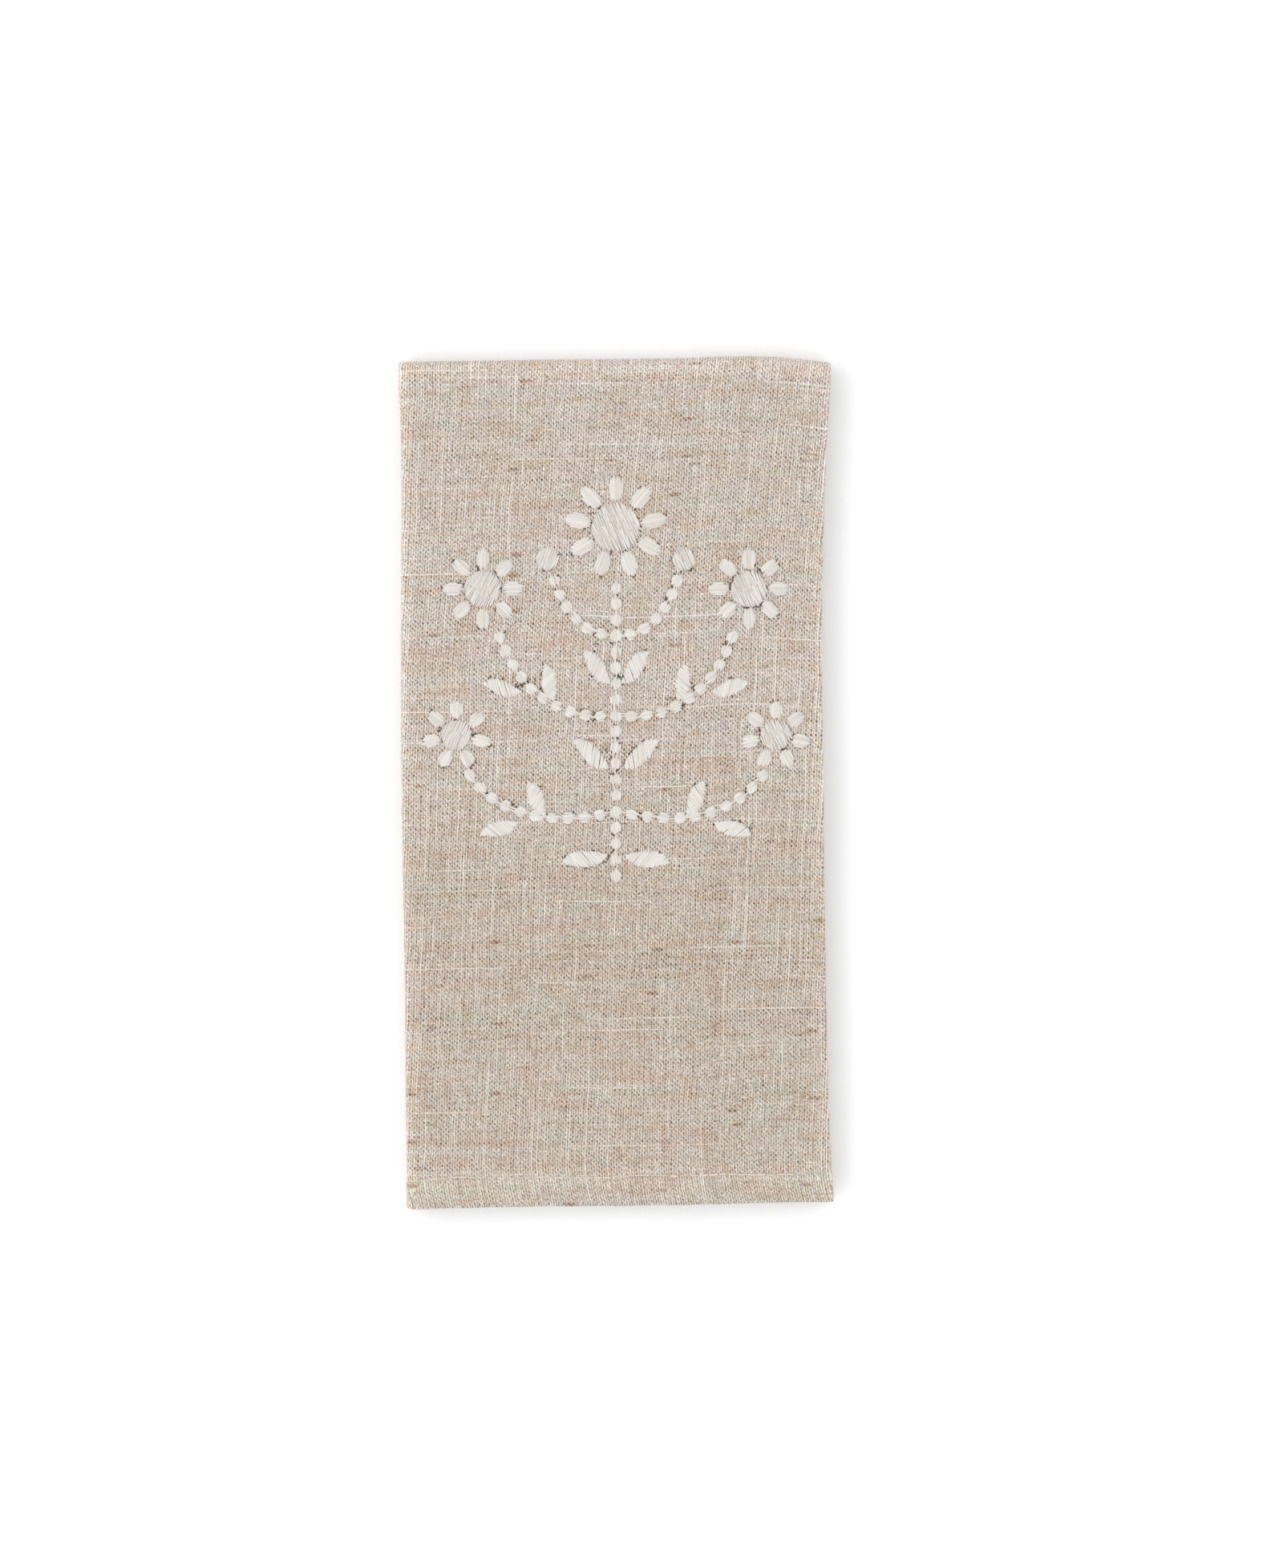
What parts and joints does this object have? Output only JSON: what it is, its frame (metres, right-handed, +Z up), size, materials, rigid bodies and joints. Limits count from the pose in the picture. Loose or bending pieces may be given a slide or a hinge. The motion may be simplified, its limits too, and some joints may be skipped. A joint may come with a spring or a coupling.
{
  "type": "cloth napkin",
  "caption": "Folded rectangular linen table napkin: a hemmed square of slub cloth folded lengthwise and across, with an ivory satin-stitch flower spray on the top panel.",
  "frame": {"origin": "on the table under the middle of the folded napkin", "axes": "+X across the napkin to the right of the picture, +Y along it towards the cross fold, +Z up off the table"},
  "size_m": [0.1297, 0.2556, 0.011],
  "materials": {
    "slub_linen": "plain weave of cream warp and flax-brown weft with thick and thin slub threads, matt",
    "ivory_thread": "thick ivory embroidery thread in satin stitch, soft sheen"
  },
  "bodies": {
    "root": {"folded_napkin": "slub_linen"}
  },
  "joints": []
}
